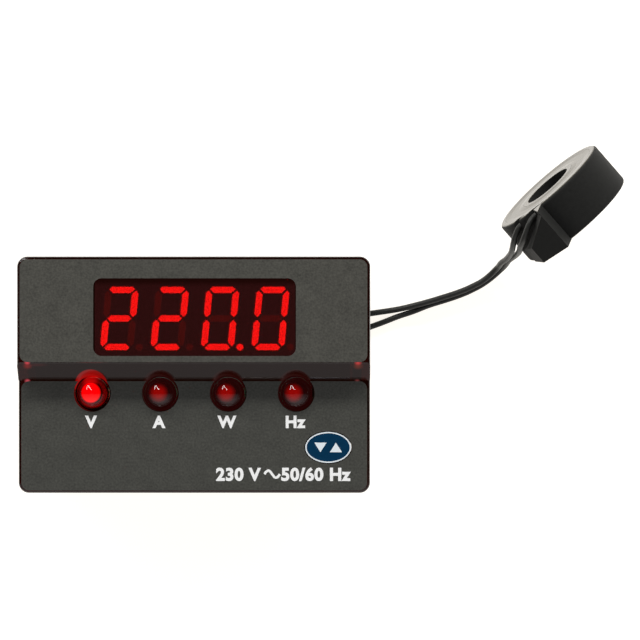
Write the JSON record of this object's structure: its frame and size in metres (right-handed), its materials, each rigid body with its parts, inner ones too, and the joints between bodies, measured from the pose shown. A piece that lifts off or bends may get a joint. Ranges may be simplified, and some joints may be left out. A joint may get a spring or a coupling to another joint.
{
  "type": "digital panel meter",
  "caption": "Miniature snap-in AC panel meter: stepped housing, red segment display, unit lamps, select key and a ring current transformer on thin leads.",
  "frame": {"origin": "middle of the rear cover's flat outer face, with the meter lying on its back", "axes": "+Z out of the meter's face, +X to the right of its face, +Y to its top edge"},
  "size_m": [0.0951, 0.0546, 0.0256],
  "materials": {
    "red_polycarbonate": "dark red transparent polycarbonate, glossy",
    "grey_label": "finely textured printed overlay",
    "grey_label_low": "finely textured printed overlay",
    "blue_key": "satin blue with a white rim",
    "dark_grey_plastic": "satin",
    "black_plastic": "moulded",
    "display_resin": "matt, seen through the red window",
    "lit_epoxy": "glowing red diffused epoxy",
    "unlit_epoxy": "diffused epoxy, unlit",
    "tinned_wire": "tinned",
    "lit_lens": "glowing red epoxy lens",
    "red_lens": "dark red epoxy lens",
    "circuit_board": "green solder mask over glass-epoxy",
    "nylon": "natural nylon",
    "gilt_pins": "gilt",
    "yellow_film": "yellow moulded box",
    "capacitor_sleeve": "shrunk sleeve",
    "varistor_epoxy": "dipped epoxy",
    "resistor_coat": "dipped lacquer",
    "black_case_plastic": "fine spark texture",
    "green_plastic": "moulded",
    "tinned_brass": "tinned",
    "plated_steel": "zinc plated",
    "sensor_plastic": "glossy black",
    "core_metal": "wound strip",
    "enamelled_wire": "enamelled copper",
    "potting_resin": "poured resin",
    "lead_insulation": "soft PVC"
  },
  "bodies": {
    "root": {"front_case": "red_polycarbonate", "upper_label": "grey_label", "lower_label": "grey_label_low", "switch_body": "black_plastic", "display_housing": "display_resin", "lit_segments": "lit_epoxy", "unlit_segments": "unlit_epoxy", "display_pins": "tinned_wire", "volts_lamp": "lit_lens", "amps_lamp": "red_lens", "watts_lamp": "red_lens", "hertz_lamp": "red_lens", "lamp_leads": "tinned_wire", "display_board": "circuit_board", "main_board": "circuit_board", "board_pillars": "nylon", "board_header": "black_plastic", "header_pins": "gilt_pins", "controller_chip": "black_plastic", "metering_chip": "black_plastic", "line_capacitor": "yellow_film", "filter_capacitor": "capacitor_sleeve", "varistor": "varistor_epoxy", "fuse_resistor": "resistor_coat", "bridge_rectifier": "black_plastic", "rear_cover": "black_case_plastic", "terminal_block": "green_plastic", "terminal_contacts": "tinned_brass", "sensor_case": "sensor_plastic", "sensor_core": "core_metal", "sensor_winding": "enamelled_wire", "sensor_potting": "potting_resin", "lead_a": "lead_insulation", "lead_b": "lead_insulation"},
    "key": {"select_key": "blue_key", "switch_plunger": "dark_grey_plastic"},
    "screw_left": {"clamp_screw_left": "plated_steel"},
    "screw_right": {"clamp_screw_right": "plated_steel"},
    "cage_left": {"clamp_left": "plated_steel"},
    "cage_right": {"clamp_right": "plated_steel"}
  },
  "joints": [
    {"name": "key_press", "type": "slide", "parent": "root", "child": "key", "axis": [0, 0, -1], "range_m": [0, 0.00025], "stiffness_N_per_m": 600, "springref_m": -0.001},
    {"name": "cage_left_lift", "type": "slide", "parent": "root", "child": "cage_left", "axis": [0, 0, 1], "range_m": [-0.0012, 0]},
    {"name": "screw_left_turn", "type": "hinge", "parent": "root", "child": "screw_left", "pos_m": [-0.0145, -0.00975, 0.003], "axis": [0, 0, 1], "range_deg": [-864, 0]},
    {"name": "cage_right_lift", "type": "slide", "parent": "root", "child": "cage_right", "axis": [0, 0, 1], "range_m": [-0.0012, 0]},
    {"name": "screw_right_turn", "type": "hinge", "parent": "root", "child": "screw_right", "pos_m": [-0.0095, -0.00975, 0.003], "axis": [0, 0, 1], "range_deg": [-864, 0]}
  ],
  "couplings": [
    {"joint": "screw_left_turn", "follows": "cage_left_lift", "rad_per_m": 12566},
    {"joint": "screw_right_turn", "follows": "cage_right_lift", "rad_per_m": 12566}
  ]
}
